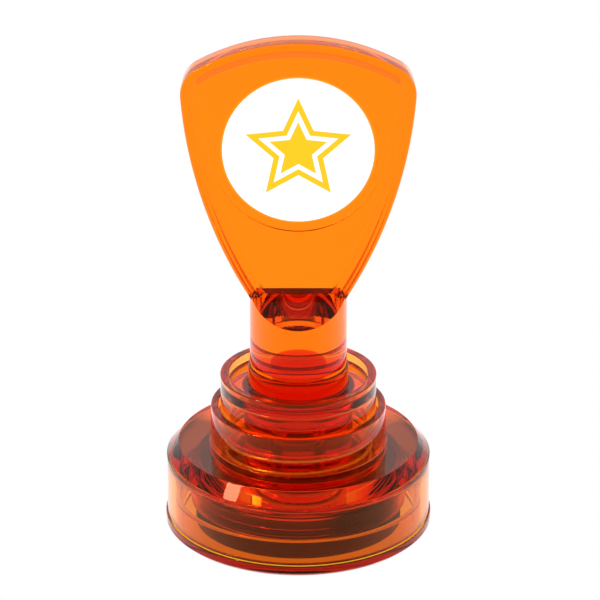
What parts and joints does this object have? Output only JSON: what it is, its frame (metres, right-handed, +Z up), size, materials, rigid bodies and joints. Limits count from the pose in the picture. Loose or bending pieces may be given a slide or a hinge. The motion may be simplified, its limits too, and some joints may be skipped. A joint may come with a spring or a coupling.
{
  "type": "pre-inked hand stamp",
  "caption": "Clear orange hand stamp with a flat paddle handle, a sprung plunger in a round collared housing, a star label and a dust cap.",
  "frame": {"origin": "middle of the dust cap's underside, on the surface that the stamp stands on", "axes": "+Z up the handle, along the plunger's axis; -Y out of the face that carries the label; +X to the right seen from the front"},
  "size_m": [0.0344, 0.0344, 0.0653],
  "materials": {
    "cap_plastic": "clear amber, polished",
    "housing_plastic": "clear amber, polished",
    "plunger_plastic": "clear red orange, polished",
    "handle_plastic": "clear orange, polished",
    "holder_plastic": "clear amber, polished",
    "label_paper": "white printed film with a yellow star",
    "liner_felt": "ink-stained felt",
    "ink_foam": "open-cell foam soaked with dark ink",
    "die_rubber": "microporous rubber, ink dark",
    "spring_steel": "bright stainless wire"
  },
  "bodies": {
    "housing_body": {"housing": "housing_plastic", "return_spring": "spring_steel"},
    "plunger_body": {"plunger": "plunger_plastic", "handle": "handle_plastic", "front_label": "label_paper", "pad_holder": "holder_plastic", "ink_foam": "ink_foam", "stamp_die": "die_rubber", "clamp_frame": "holder_plastic"},
    "cap_body": {"dust_cap": "cap_plastic", "cap_liner": "liner_felt"}
  },
  "joints": [
    {"name": "press", "type": "slide", "parent": "housing_body", "child": "plunger_body", "axis": [0, 0, -1], "range_m": [0, 0.00185], "stiffness_N_per_m": 600, "springref_m": -0.0035, "deforming": ["return_spring"]},
    {"name": "cap_off", "type": "slide", "parent": "housing_body", "child": "cap_body", "axis": [0, 0, -1], "range_m": [0, 0.024]}
  ]
}
